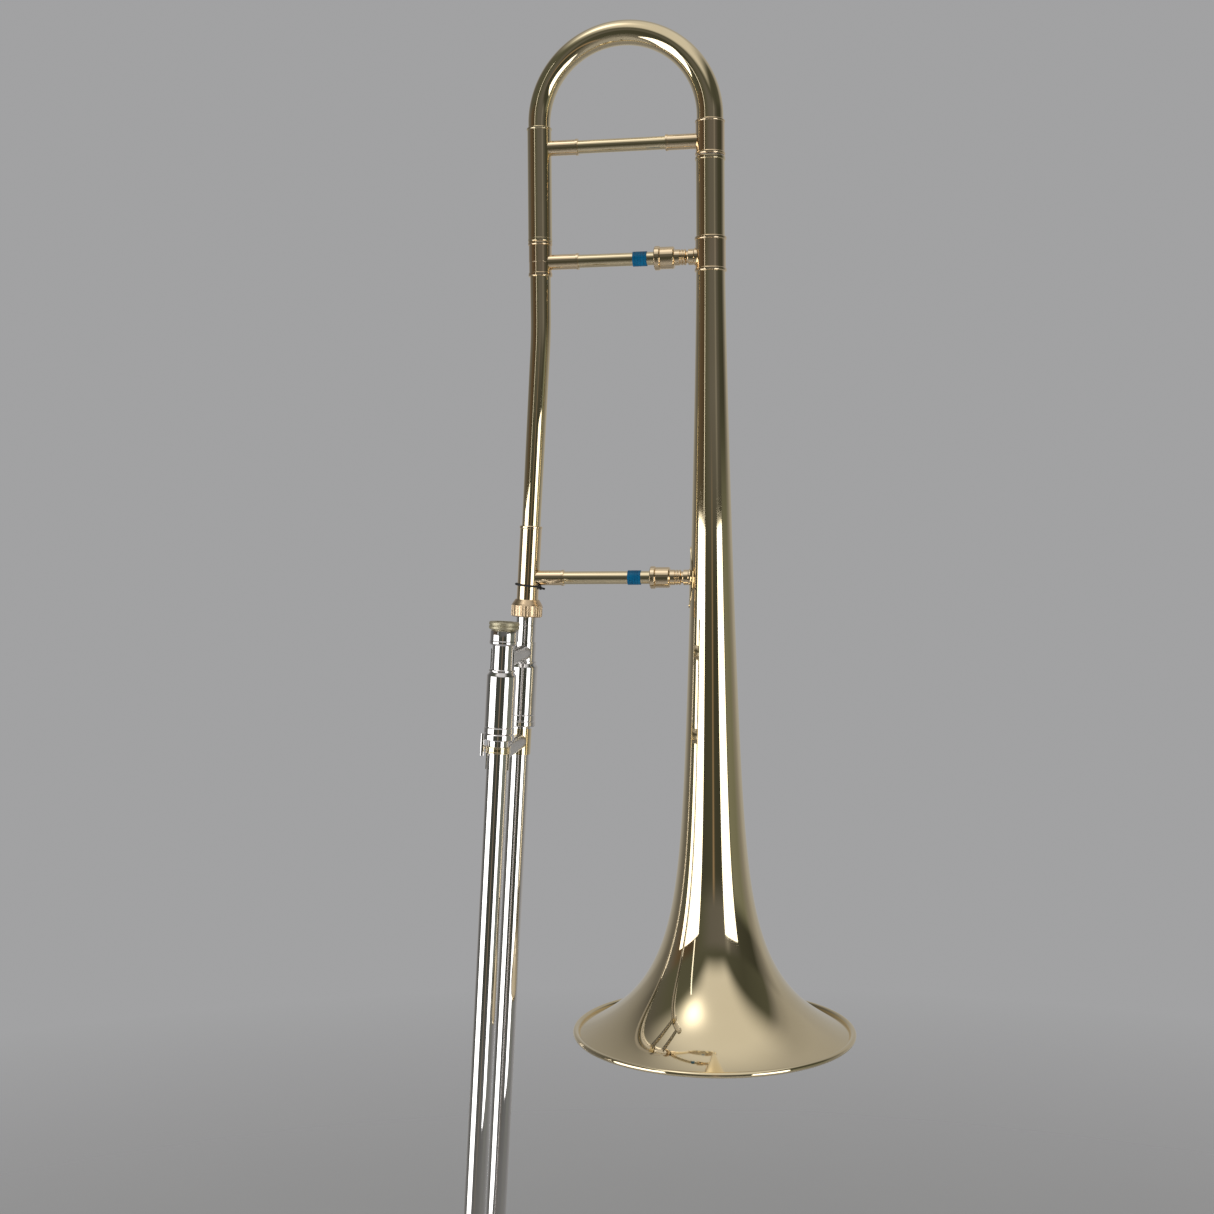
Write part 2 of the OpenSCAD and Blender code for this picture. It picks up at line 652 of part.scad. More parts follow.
module barrel_springs() {
    color(NICKEL) both_slide_tubes()
        coil(spring_ring_r, spring_wire_r, spring_foot + 0.1, spring_top - 0.1, spring_turns, spring_steps,
            spring_sides);
}

// ---------- Slide lock ----------

lock_ring_s = [barrel_foot - 0.2, barrel_ring_s[0] - 0.3];
lock_arm_a = 186;
lock_arm_r = [barrel_r - 0.7, barrel_r + 2.0];
lock_arm_w = 4;
lock_arm_round = 0.9;
lock_arm_foot = -295.4;
lock_foot_h = 2.8;
lock_foot_w = 4;
catch_a = 143;
catch_h = 4.6;
catch_r = 8.3;
catch_pin_r = 1.4;

module rounded_plate(x, y, r) {
    offset(r = r, $fn = 32) translate([r, r]) square([x - 2 * r, y - 2 * r]);
}

// Ring that turns on the spigot of the barrel, with a hooked arm
module lock_ring() {
    s0 = lock_ring_s[0];
    s1 = lock_ring_s[1];
    bore = spigot_r + 0.08;
    arm_t = lock_arm_r[1] - lock_arm_r[0];
    color(BRIGHT) at_mouth_side() {
        turned([
            [bore, s0], [barrel_collar_r - 0.5, s0], [barrel_collar_r, s0 + 0.6],
            [barrel_collar_r, s1 - 0.5], [barrel_collar_r - 0.4, s1], [bore, s1]]);
        rotate([0, 0, lock_arm_a]) {
            translate([lock_arm_r[0], -lock_arm_w / 2, lock_arm_foot])
                linear_extrude(s1 - 0.4 - lock_arm_foot) rounded_plate(arm_t, lock_arm_w, lock_arm_round);
            translate([lock_arm_r[0], -lock_arm_w / 2 - lock_foot_w, lock_arm_foot])
                linear_extrude(lock_foot_h) rounded_plate(arm_t, lock_foot_w + lock_arm_w, lock_arm_round);
        }
    }
}

// Ring on the outer slide, with the pin that the hook catches
module lock_catch() {
    foot = catch_s - catch_h / 2;
    color(BRASS) difference() {
        at_mouth_side() {
            tube(catch_r, outer_tube_r, foot, foot + catch_h);
            bead(catch_r - 0.1, 0.45, foot + catch_h - 1.2, 1.2);
            bead(catch_r - 0.1, 0.45, foot, 1.2);
            rotate([0, 0, catch_a]) translate([catch_r - 0.2, 0, catch_s]) rotate([0, 90, 0])
                cylinder(r = catch_pin_r, h = lock_arm_r[1] - catch_r + 0.2);
        }
        at_slide() along_y(hand_brace_s) translate([0, 0, -slide_spacing])
            cylinder(r = hand_bar_r, h = slide_spacing);
    }
}

// ---------- Leadpipe ----------

leadpipe_r = inner_bore_r - 0.1;
leadpipe_len = 235;
module leadpipe() {
    land = 6;
    venturi = 28;
    top = mouth_top;
    color(BRASS) at_mouth_side() turned([
        [mouthpiece_bore_r, top], [7.6, top], [7.6, inner_top - 2.4], [leadpipe_r, inner_top - 3.6],
        [leadpipe_r, top - leadpipe_len], [leadpipe_r - 0.35, top - leadpipe_len],
        [5.75, top - venturi - 60], [5.65, top - venturi], [mouthpiece_bore_r, top - land]]);
}
module leadpipe_collar() {
    r = 10.35;
    top = mouth_top;
    foot = mouth_top - collar_h;
    mid = (top + foot) / 2;
    color(BRASS) at_mouth_side() turned([
        [7.62, top], [r - 0.6, top], [r, top - 0.6], [r, mid + 0.5], [r - 0.4, mid + 0.25],
        [r - 0.4, mid - 0.25], [r, mid - 0.5], [r, foot + 0.9], [r - 0.6, foot + 0.1],
        [r - 1.0, foot], [7.62, foot]]);
}

// ---------- Outer slide ----------

module outer_tube() {
    tube(outer_tube_r, outer_bore_r, bow_s, outer_top);
}
module outer_tube_mouthpiece_side() {
    color(BRIGHT) at_mouth_side() outer_tube();
}
module outer_tube_bell_side() {
    color(BRIGHT) at_slide() outer_tube();
}

hand_bar_r = 5.7;
module hand_brace_bar() {
    color(NICKEL) slide_bar(hand_brace_s, hand_bar_r, outer_tube_r, 0.8);
}
module hand_brace_saddles() {
    color(BRASS) difference() {
        slide_saddles(hand_brace_s, hand_saddle_s, outer_tube_r, 0.55, hand_bar_r);
        at_mouth_side() translate([0, 0, catch_s - catch_h / 2 - 0.1]) cylinder(r = 9, h = 40);
    }
}

sleeve_len = 36;
bow_sleeve_r = 8.0;
module bow_sleeves() {
    color(BRIGHT) both_slide_tubes() {
        tube(bow_sleeve_r, outer_tube_r, bow_s + 0.5, bow_s + sleeve_len);
        bead(bow_sleeve_r - 0.1, 0.6, bow_s + 0.5, 2.2);
        bead(bow_sleeve_r - 0.1, 0.6, bow_s + sleeve_len - 2.2, 2.2);
    }
}

// Centre of the slide bow
module at_bow() {
    at_slide() translate([0, -slide_spacing / 2, bow_s]) children();
}
slide_bow_r = slide_spacing / 2;
module slide_bow() {
    color(BRIGHT) at_bow() difference() {
        rotate([0, 90, 0]) rotate([0, 0, -90]) rotate_extrude(angle = 180)
            translate([slide_bow_r, 0]) bow_section();
        at_nipple() translate([-8, 0, 0]) rotate([0, 90, 0]) cylinder(r = nipple_bore_r, h = 20);
    }
}
module bow_section() {
    difference() {
        circle(r = outer_tube_r);
        circle(r = outer_bore_r);
    }
}

module bumper_socket() {
    color(BRIGHT) at_bow() difference() {
        translate([0, 0, -slide_bow_r - outer_tube_r - 4.6]) cylinder(r = 4.6, h = 8);
        translate([0, 0, -slide_bow_r - outer_tube_r - 6]) cylinder(r = 3.6, h = 5.4);
        rotate([0, 90, 0]) rotate_extrude() translate([slide_bow_r, 0]) circle(r = outer_tube_r);
    }
}
module bumper() {
    foot = -slide_bow_r - outer_tube_r;
    color(BLACK) at_bow() turned([
        [0, foot - 0.7], [3.58, foot - 0.7], [3.58, foot - 4.6], [4.3, foot - 4.8],
        [4.3, foot - 6.4], [3.9, foot - 7.6], [2.8, foot - 8.4], [0, foot - 8.8]]);
}

// ---------- Water key ----------

nipple_a = 14;
nipple_bore_r = 2;
nipple_r = 3.2;
nipple_x = [6.2, 10.4];
cork_h = 2.8;
key_y = slide_bow_r * cos(nipple_a);
key_z = -slide_bow_r * sin(nipple_a);
pivot_x = 13.6;
pivot_z = 9;
pin_r = 1.1;
key_t = 1.6;
key_w = 5;
strap_w = 4.4;
module at_nipple() {
    translate([0, key_y, key_z]) children();
}
module at_pivot() {
    at_bow() translate([pivot_x, key_y, pivot_z]) children();
}

module water_key_nipple() {
    color(BRIGHT) at_bow() difference() {
        at_nipple() rotate([0, 90, 0]) tube(nipple_r, nipple_bore_r, nipple_x[0], nipple_x[1]);
        rotate([0, 90, 0]) rotate_extrude() translate([slide_bow_r, 0]) circle(r = outer_tube_r);
    }
}

// Two ears on a foot that sits on the bow sleeve
bracket_w = 9.6;
ear_t = 1.2;
module water_key_bracket() {
    color(BRIGHT) difference() {
        at_pivot() {
            for (side = [-1, 1]) translate([0, side * (bracket_w - ear_t) / 2, 0]) {
                rotate([90, 0, 0]) cylinder(r = 2.4, h = ear_t, center = true);
                translate([-3.4, 0, 0]) cube([6.8, ear_t, 4.8], center = true);
            }
            translate([-5.6, 0, 0]) cube([2.4, bracket_w, 7], center = true);
        }
        at_pivot() rotate([90, 0, 0]) cylinder(r = pin_r, h = 20, center = true);
        at_slide() translate([0, 0, bow_s]) cylinder(r = bow_sleeve_r, h = 40);
    }
}
module water_key_pin() {
    color(NICKEL) at_pivot() rotate([90, 0, 0]) {
        cylinder(r = pin_r, h = bracket_w, center = true);
        translate([0, 0, bracket_w / 2]) cylinder(r = 1.9, h = 0.9);
    }
}

// Lever: a bent strap on a barrel, a cup for the cork and a touch plate for the thumb
touch = [7.5, 33];
touch_r = 6.4;
touch_t = 2.2;
cup_r = 4.6;
cup_wall = 0.7;
cup_depth = 1.1;
cup_floor = 2.2;
barrel_key_r = 2.3;
module water_key() {
    cup_x = nipple_x[1] + cork_h - pivot_x;
    cup_z = key_z - pivot_z;
    color(BRIGHT) at_pivot() difference() {
        union() {
            rotate([90, 0, 0]) cylinder(r = barrel_key_r, h = key_w, center = true);
            strap([0, 1], [cup_x + cup_floor / 2, cup_z + 3]);
            strap([0.4, -1], touch);
            translate([cup_x - cup_depth, 0, cup_z]) rotate([0, 90, 0])
                cylinder(r = cup_r, h = cup_floor + cup_depth);
            translate([touch[0], 0, touch[1]]) rotate([0, atan2(touch[1], touch[0]), 0])
                cylinder(r = touch_r, h = touch_t, center = true);
        }
        rotate([90, 0, 0]) cylinder(r = pin_r + 0.06, h = 20, center = true);
        translate([cup_x - 2 * cup_depth, 0, cup_z]) rotate([0, 90, 0])
            cylinder(r = cup_r - cup_wall, h = 2 * cup_depth);
    }
}
// A flat strap in the XZ plane from one point to another
module strap(from, to) {
    d = to - from;
    translate([from[0], 0, from[1]]) rotate([0, atan2(d[0], d[1]), 0])
        translate([-key_t / 2, -strap_w / 2, 0]) cube([key_t, strap_w, norm(d)]);
}
module water_key_cork() {
    color(CORK) at_bow() at_nipple() translate([nipple_x[1] + 0.05, 0, 0]) rotate([0, 90, 0])
        cylinder(r = 3.85, h = cork_h - 0.07);
}
module water_key_spring() {
    color(NICKEL) at_pivot() rotate([90, 0, 0]) for (side = [-1, 1])
        translate([0, 0, side * (key_w / 2 + 0.65)])
            tube(2.3, 1.3, -0.4, 0.4);
}

bell_flare();
bell_stem();
bell_rim_wire();
bell_ferrule();
bell_leg();
neckpipe();
neckpipe_ferrule();
neck_leg();
slide_receiver();
receiver_band();
upper_brace_socket();
upper_brace_tube();
upper_brace_tape();
upper_brace_stem();
upper_brace_nut();
lower_brace_socket();
lower_brace_tube();
lower_brace_tape();
lower_brace_stem();
lower_brace_plate();
lower_brace_nut();
receiver_nut();
tuning_bow();
tuning_sleeve();
tuning_ferrule();
tuning_leg();
tuning_brace_socket_neck();
tuning_brace_socket_bell();
tuning_brace_tube();
slide_tenon();
mouthpiece_receiver();
inner_tube_mouthpiece_side();
inner_tube_bell_side();
inner_brace_bar();
inner_brace_saddles();
cork_barrel_mouthpiece_side();
cork_barrel_bell_side();
barrel_felts();
barrel_springs();
lock_ring();
leadpipe();
leadpipe_collar();
outer_tube_mouthpiece_side();
outer_tube_bell_side();
hand_brace_bar();
hand_brace_saddles();
lock_catch();
bow_sleeves();
slide_bow();
bumper_socket();
bumper();
water_key_nipple();
water_key_bracket();
water_key_pin();
water_key();
water_key_cork();
water_key_spring();
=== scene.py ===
"""A straight tenor trombone, bell down: smooth tubes, turned fittings and soft studio light."""
import json
import math

import bmesh
import bpy
from mathutils import Matrix, Vector


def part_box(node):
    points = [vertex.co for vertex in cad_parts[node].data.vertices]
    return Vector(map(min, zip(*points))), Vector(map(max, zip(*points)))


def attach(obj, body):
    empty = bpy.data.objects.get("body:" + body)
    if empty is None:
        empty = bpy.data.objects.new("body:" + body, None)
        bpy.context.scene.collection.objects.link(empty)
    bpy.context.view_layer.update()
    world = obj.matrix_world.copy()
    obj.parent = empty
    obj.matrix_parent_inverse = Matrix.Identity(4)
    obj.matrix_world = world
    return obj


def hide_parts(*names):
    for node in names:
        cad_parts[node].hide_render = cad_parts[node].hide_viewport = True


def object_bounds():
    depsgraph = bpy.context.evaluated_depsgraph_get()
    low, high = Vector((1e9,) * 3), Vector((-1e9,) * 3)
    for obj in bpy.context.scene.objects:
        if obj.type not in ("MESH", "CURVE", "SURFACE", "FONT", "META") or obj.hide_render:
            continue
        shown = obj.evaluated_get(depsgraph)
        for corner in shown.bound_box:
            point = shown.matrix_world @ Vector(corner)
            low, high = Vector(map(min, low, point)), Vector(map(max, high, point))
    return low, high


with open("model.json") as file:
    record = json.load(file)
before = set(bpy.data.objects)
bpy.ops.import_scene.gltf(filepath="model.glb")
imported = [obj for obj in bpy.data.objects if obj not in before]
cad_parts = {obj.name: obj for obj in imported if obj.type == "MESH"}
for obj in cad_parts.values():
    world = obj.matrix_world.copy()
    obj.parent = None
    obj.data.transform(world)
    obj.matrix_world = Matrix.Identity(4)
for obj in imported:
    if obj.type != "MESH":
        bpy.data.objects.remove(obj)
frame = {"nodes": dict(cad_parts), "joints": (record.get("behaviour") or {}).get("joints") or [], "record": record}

cad_low, cad_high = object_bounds()
MM = 0.001

# ---------- Places, from the frame ----------


def joint(name):
    return next(j for j in frame["joints"] if j["name"] == name)


def placed(origin, up, across=(0, 1, 0)):
    """A local frame: Z along up, Y as near to across as it can be."""
    z = Vector(up).normalized()
    y = (Vector(across) - z * z.dot(Vector(across))).normalized()
    x = y.cross(z)
    m = Matrix((x, y, z)).transposed().to_4x4()
    m.translation = Vector(origin)
    return m


def centre(node):
    low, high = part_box(node)
    return (low + high) / 2


rear_point = Vector(joint("slide_swivel")["pos_m"])
front_point = Vector(joint("slide_lock_turn")["pos_m"])
slide_up = Vector(joint("slide_swivel")["axis"])
across_slide = rear_point - front_point

BELL = Matrix.Identity(4)
NECK = Matrix.Translation((centre("neck_leg").x, 0, 0))
REAR = placed(rear_point, slide_up, across_slide)
FRONT = placed(front_point, slide_up, across_slide)
UPPER_BRACE = placed(joint("upper_union_nut_spin")["pos_m"], (1, 0, 0))
LOWER_BRACE = placed(joint("lower_union_nut_spin")["pos_m"], (1, 0, 0))
TUNING_BRACE = placed(centre("tuning_brace_tube"), (1, 0, 0))
leg_spacing = -NECK.translation.x


def local_box(node, place):
    """The box of a node along the axes of a place."""
    to_local = place.inverted()
    points = [to_local @ v.co for v in frame["nodes"][node].data.vertices]
    low = Vector([min(p[k] for p in points) for k in range(3)])
    high = Vector([max(p[k] for p in points) for k in range(3)])
    return low, high


# ---------- Outlines ----------

SAME_POINT = 4e-6
CORNER_ANGLE = math.radians(18)
STRAIGHT_ANGLE = 2e-3
EDGE_ROUND = 0.22 * MM
ROUND_STEPS = 4
SUPPORT = 0.03 * MM
# The largest part of an edge that one rounded corner takes, and of that cut that its support point takes
CORNER_SHARE = 0.42
SUPPORT_SHARE = 0.2
NO_LENGTH = 1e-7
ON_AXIS = 1e-6


def outline(node, place, reach=1.0):
    """The closed outline (radius, height) of a turned CAD node, read from its mesh about an axis."""
    mesh = frame["nodes"][node].data
    to_local = place.inverted()
    cells, keys, points = {}, [], []
    for v in mesh.vertices:
        p = to_local @ v.co
        r, z = math.hypot(p.x, p.y), p.z
        if r > reach:
            keys.append(None)
            continue
        i, j = round(r / SAME_POINT), round(z / SAME_POINT)
        around = [(i + a, j + b) for a in (0, -1, 1) for b in (0, -1, 1)]
        near = [cells[cell] for cell in around if cell in cells]
        if not near:
            cells[i, j] = len(points)
            near = [len(points)]
            points.append(Vector((r, z)))
        keys.append(near[0])
    links = [set() for _ in points]
    for e in mesh.edges:
        a, b = (keys[i] for i in e.vertices)
        if a is not None and b is not None and a != b:
            links[a].add(b)
            links[b].add(a)
    return trace(points, links)


def trace(points, links):
    """Follows the outline from its outermost point, each time to the nearest linked point not yet used."""
    here = max(range(len(points)), key=lambda k: points[k].x)
    loop, used = [here], {here}
    while True:
        open_links = [k for k in links[here] if k not in used]
        if not open_links:
            return [points[k] for k in loop]
        here = min(open_links, key=lambda k: (points[k] - points[loop[-1]]).length)
        loop.append(here)
        used.add(here)


def straightened(loop):
    """The outline without the points that lie on a straight line."""
    kept = []
    for i, p in enumerate(loop):
        a, b = p - loop[i - 1], loop[(i + 1) % len(loop)] - p
        if min(a.length, b.length) > NO_LENGTH and a.angle(b) > STRAIGHT_ANGLE:
            kept.append(p)
    return kept


def softened(loop, rounding):
    """The outline with its corners rounded, and a support point on each side of every arc."""
    result = []
    for i, p in enumerate(loop):
        before, after = loop[i - 1] - p, loop[(i + 1) % len(loop)] - p
        turn = math.pi - before.angle(after)
        if turn < CORNER_ANGLE or p.x < ON_AXIS:
            result.append(p)
            continue
        cut = min(rounding * math.tan(turn / 2), CORNER_SHARE * before.length, CORNER_SHARE * after.length)
        start, end = p + before.normalized() * cut, p + after.normalized() * cut
        guard = min(SUPPORT, SUPPORT_SHARE * cut)
        result.append(start + before.normalized() * guard)
        for k in range(ROUND_STEPS + 1):
            t = k / ROUND_STEPS
            result.append(start * (1 - t) ** 2 + p * 2 * t * (1 - t) + end * t ** 2)
        result.append(end + after.normalized() * guard)
    return result


# ---------- Meshes ----------


def add_piece(name, verts, faces, body, replaced, material):
    """A visible piece that rides on a body and takes the place of CAD nodes."""
    mesh = bpy.data.meshes.new(name)
    mesh.from_pydata(verts, [], faces)
    mesh.validate()
    bm = bmesh.new()
    bm.from_mesh(mesh)
    bmesh.ops.remove_doubles(bm, verts=bm.verts, dist=NO_LENGTH)
    bmesh.ops.recalc_face_normals(bm, faces=bm.faces)
    bm.to_mesh(mesh)
    bm.free()
    mesh.shade_smooth()
    piece = bpy.data.objects.new(name, mesh)
    bpy.context.scene.collection.objects.link(piece)
    piece.data.materials.append(material)
    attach(piece, body)
    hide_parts(*replaced)


def spun(loop, place, sides, first=0):
    """Vertices and faces of a closed outline turned once about the place's Z axis."""
    verts, faces, n = [], [], len(loop)
    for j in range(sides):
        a = 2 * math.pi * j / sides
        verts += [place @ Vector((p.x * math.cos(a), p.x * math.sin(a), p.y)) for p in loop]
    for j in range(sides):
        k = (j + 1) % sides
        for i in range(n):
            m = (i + 1) % n
            if loop[i].x < ON_AXIS and loop[m].x < ON_AXIS:
                continue
            faces.append([first + q for q in (j * n + i, j * n + m, k * n + m, k * n + i)])
    return verts, faces


def ring_stack(rings, sides):
    """Vertices and faces of a tube through rings: centre, two directions, outer and inner radius."""
    verts, faces, n = [], [], len(rings)
    for side in (3, 4):
        for g in rings:
            for j in range(sides):
                a = 2 * math.pi * j / sides
                verts.append(g[0] + g[side] * (math.cos(a) * g[1] + math.sin(a) * g[2]))
    half = n * sides
    for i in range(n - 1):
        for j in range(sides):
            k = (j + 1) % sides
            faces.append((i * sides + j, (i + 1) * sides + j, (i + 1) * sides + k, i * sides + k))
            faces.append(tuple(half + q for q in faces[-1][::-1]))
    for i in (0, n - 1):
        for j in range(sides):
            k = (j + 1) % sides
            faces.append((i * sides + j, i * sides + k, half + i * sides + k, half + i * sides + j))
    return verts, faces


# ---------- Node trees ----------


class Tree:
    """A short way to build a node tree."""

    def __init__(self, tree):
        self.tree = tree

    def new(self, kind, **settings):
        node = self.tree.nodes.new(kind)
        for key, value in settings.items():
            setattr(node, key, value)
        return node

    def join(self, out, socket):
        self.tree.links.new(out, socket)

    def give(self, value, socket):
        """Sets a socket to a plain value, or joins an output to it."""
        if hasattr(value, "links"):
            self.join(value, socket)
        else:
            socket.default_value = value

    def ranged(self, value, low, high, to_low=0.0, to_high=1.0, **settings):
        node = self.new("ShaderNodeMapRange", **settings)
        for key, number in (("From Min", low), ("From Max", high), ("To Min", to_low), ("To Max", to_high)):
            node.inputs[key].default_value = number
        self.join(value, node.inputs["Value"])
        return node.outputs["Result"]

    def mixed(self, share, a, b):
        node = self.new("ShaderNodeMix", data_type="RGBA")
        self.join(share, node.inputs[0])
        for socket, colour in ((node.inputs[6], a), (node.inputs[7], b)):
            self.give((*colour, 1) if isinstance(colour, tuple) else colour, socket)
        return node.outputs[2]

    def maths(self, operation, *values):
        node = self.new("ShaderNodeMath", operation=operation)
        for socket, value in zip(node.inputs, values):
            self.give(value, socket)
        return node.outputs[0]


# ---------- Materials ----------


class Paint(Tree):
    """One material, built round its shader."""

    def __init__(self, name):
        self.material = bpy.data.materials.new(name)
        self.material.use_nodes = True
        super().__init__(self.material.node_tree)
        self.shader = self.tree.nodes["Principled BSDF"]
        self.place = self.new("ShaderNodeTexCoord").outputs["Object"]

    def stretched(self, scale):
        node = self.new("ShaderNodeMapping")
        node.inputs["Scale"].default_value = scale
        self.join(self.place, node.inputs["Vector"])
        return node.outputs["Vector"]

    def grain(self, scale, detail=3.0, roughness=0.5, vector=None):
        node = self.new("ShaderNodeTexNoise")
        node.inputs["Scale"].default_value = scale
        node.inputs["Detail"].default_value = detail
        node.inputs["Roughness"].default_value = roughness
        self.join(vector or self.place, node.inputs["Vector"])
        return node.outputs["Fac"]

    def bumped(self, height, strength, distance):
        node = self.new("ShaderNodeBump")
        node.inputs["Strength"].default_value = strength
        node.inputs["Distance"].default_value = distance
        self.join(height, node.inputs["Height"])
        self.join(node.outputs["Normal"], self.shader.inputs["Normal"])

    def set(self, **values):
        for key, value in values.items():
            self.give(value, self.shader.inputs[key.replace("_", " ")])


HAIRLINES = (600, 600, 60)


def polished(name, colour, deep, rough, coat):
    """Polished metal: slow colour drift, faint smears in the gloss, hairline marks and a slight waviness."""
    m = Paint(name)
    drift = m.ranged(m.grain(14, 4), 0.35, 0.65)
    smear = m.ranged(m.grain(42, 6, 0.6), 0.45, 0.75, rough[0], rough[1])
    hair = m.grain(1.0, 5, 0.7, m.stretched(HAIRLINES))
    marks = m.ranged(hair, 0.62, 0.72, 0, 0.03)
    m.set(Base_Color=m.mixed(drift, colour, deep), Metallic=1.0)
    m.set(Roughness=m.maths("ADD", smear, marks))
    m.set(Coat_Weight=coat, Coat_Roughness=0.03, Coat_IOR=1.5)
    m.bumped(m.grain(24, 1), 0.1, 0.0004)
    return m.material


def brushed(name, colour, deep, rough, scratch, bump):
    """Satin metal with drawn or turned marks along one direction."""
    m = Paint(name)
    drift = m.ranged(m.grain(30, 4), 0.35, 0.65)
    hair = m.grain(1.0, 6, 0.65, m.stretched(scratch))
    m.set(Base_Color=m.mixed(drift, colour, deep), Metallic=1.0,
          Roughness=m.ranged(hair, 0.3, 0.7, rough[0], rough[1]))
    m.bumped(hair, bump, 0.0003)
    return m.material


def vinyl(name, colour, deep):
    """Plastic tape with a fine grain, slightly worn in places."""
    m = Paint(name)
    drift = m.ranged(m.grain(220, 5), 0.35, 0.65)
    worn = m.ranged(m.grain(500, 4), 0.3, 0.7, 0.3, 0.48)
    m.set(Base_Color=m.mixed(drift, colour, deep), Roughness=worn, Specular_IOR_Level=0.25)
    m.bumped(m.grain(2600, 2), 0.25, 0.0001)
    return m.material


def rubber(name, colour, dust):
    """Matt rubber with a pale bloom in patches."""
    m = Paint(name)
    bloom = m.ranged(m.grain(160, 6, 0.65), 0.5, 0.75)
    m.set(Base_Color=m.mixed(bloom, colour, dust), Roughness=m.ranged(bloom, 0, 1, 0.5, 0.75))
    m.bumped(m.grain(3200, 3), 0.35, 0.00012)
    return m.material


CORK_SHADE, CORK_PALE, CORK_FLECK = (0.30, 0.16, 0.07), (0.55, 0.33, 0.16), (0.12, 0.055, 0.022)
FELT_DARK, FELT_PALE = (0.05, 0.045, 0.04), (0.16, 0.15, 0.135)


def cork(name):
    """Cork: pale cells with dark flecks between them."""
    m = Paint(name)
    cells = m.new("ShaderNodeTexVoronoi")
    cells.inputs["Scale"].default_value = 1500
    m.join(m.place, cells.inputs["Vector"])
    fleck = m.ranged(m.grain(700, 5, 0.7), 0.55, 0.66)
    body = m.mixed(m.ranged(cells.outputs["Distance"], 0, 0.7), CORK_SHADE, CORK_PALE)
    m.set(Base_Color=m.mixed(fleck, body, CORK_FLECK), Roughness=0.85)
    m.bumped(cells.outputs["Distance"], 0.4, 0.0002)
    return m.material


def felt(name):
    """Pressed felt with fine upright fibres."""
    m = Paint(name)
    fibre = m.grain(1.0, 6, 0.7, m.stretched((2400, 2400, 5200)))
    m.set(Base_Color=m.mixed(fibre, FELT_DARK, FELT_PALE), Roughness=0.95)
    m.set(Sheen_Weight=0.5, Sheen_Roughness=0.5)
    m.bumped(fibre, 0.6, 0.0003)
    return m.material


# How fine the marks are along X, Y and Z: the finest way is across them
TURNED_MARKS = (900, 900, 5000)
WORN_MARKS = (900, 900, 3000)
DRAWN_MARKS = (1500, 300, 1500)
BY_SLOT = {
    "lacquered_brass": polished("lacquered_yellow_brass", (0.86, 0.73, 0.49), (0.82, 0.69, 0.45),
                                (0.03, 0.07), 0.35),
    "rose_brass": polished("lacquered_rose_brass", (0.90, 0.73, 0.50), (0.86, 0.68, 0.45), (0.04, 0.09), 0.3),
    "bright_nickel": polished("bright_nickel_plate", (0.80, 0.775, 0.765), (0.77, 0.745, 0.735),
                              (0.025, 0.06), 0.0),
    "satin_brass": brushed("satin_bronze", (0.78, 0.60, 0.40), (0.72, 0.54, 0.35), (0.24, 0.38),
                           TURNED_MARKS, 0.1),
    "raw_brass": brushed("raw_brass", (0.58, 0.53, 0.38), (0.48, 0.43, 0.30), (0.42, 0.56), WORN_MARKS, 0.1),
    "nickel_silver": brushed("drawn_nickel_silver", (0.60, 0.575, 0.55), (0.54, 0.52, 0.50), (0.22, 0.34),
                             DRAWN_MARKS, 0.08),
    "blue_tape": vinyl("blue_vinyl", (0.0, 0.17, 0.36), (0.0, 0.12, 0.27)),
    "black_rubber": rubber("black_rubber", (0.012, 0.012, 0.013), (0.035, 0.035, 0.036)),
    "cork": cork("natural_cork"),
    "felt": felt("pressed_felt"),
}
SLOT_OF = {s["node"]: s["material_slot"] for s in frame["record"]["subparts"]}
BODY_OF = {n: b for b, members in frame["record"]["behaviour"]["bodies"].items() for n in members}
for node, piece in frame["nodes"].items():
    for piece_slot in piece.material_slots:
        piece_slot.material = BY_SLOT[SLOT_OF[node]]


def stand_in(name, verts, faces, nodes=None):
    """A smooth mesh in place of one CAD node, or of several on the same body."""
    nodes = nodes or [name]
    slot = SLOT_OF[nodes[0]]
    add_piece("smooth_" + name, verts, faces, BODY_OF[nodes[0]], nodes, BY_SLOT[slot])


# ---------- Turned pieces ----------

SIDES = 144
ONE_TUBE_REACH = 14 * MM


def respun(node, places, reach=1.0):
    """Turns the node's outline again, rounder and with soft edges, about each of its axes."""
    verts, faces = [], []
    for place in places:
        loop = softened(straightened(outline(node, place, reach)), EDGE_ROUND)
        v, f = spun(loop, place, SIDES, len(verts))
        verts += v
        faces += f
    stand_in(node, verts, faces)


TURNED = [
    (BELL, ["bell_ferrule", "bell_leg", "tuning_ferrule", "tuning_leg"]),
    (NECK, ["neckpipe_ferrule", "neck_leg", "tuning_sleeve"]),
    (UPPER_BRACE, ["upper_brace_tube", "upper_brace_nut"]),
    (LOWER_BRACE, ["lower_brace_tube", "lower_brace_nut"]),
    (TUNING_BRACE, ["tuning_brace_tube"]),
    (REAR, ["slide_receiver", "slide_tenon", "inner_tube_bell_side", "cork_barrel_bell_side",
            "outer_tube_bell_side"]),
    (FRONT, ["mouthpiece_receiver", "inner_tube_mouthpiece_side", "cork_barrel_mouthpiece_side", "leadpipe",
             "leadpipe_collar", "outer_tube_mouthpiece_side"]),
]
for place, names in TURNED:
    for name in names:
        respun(name, [place])
for name in ("bow_sleeves", "barrel_felts"):
    respun(name, [REAR, FRONT], ONE_TUBE_REACH)

# ---------- Bell ----------

BELL_STEM = 10.4 * MM
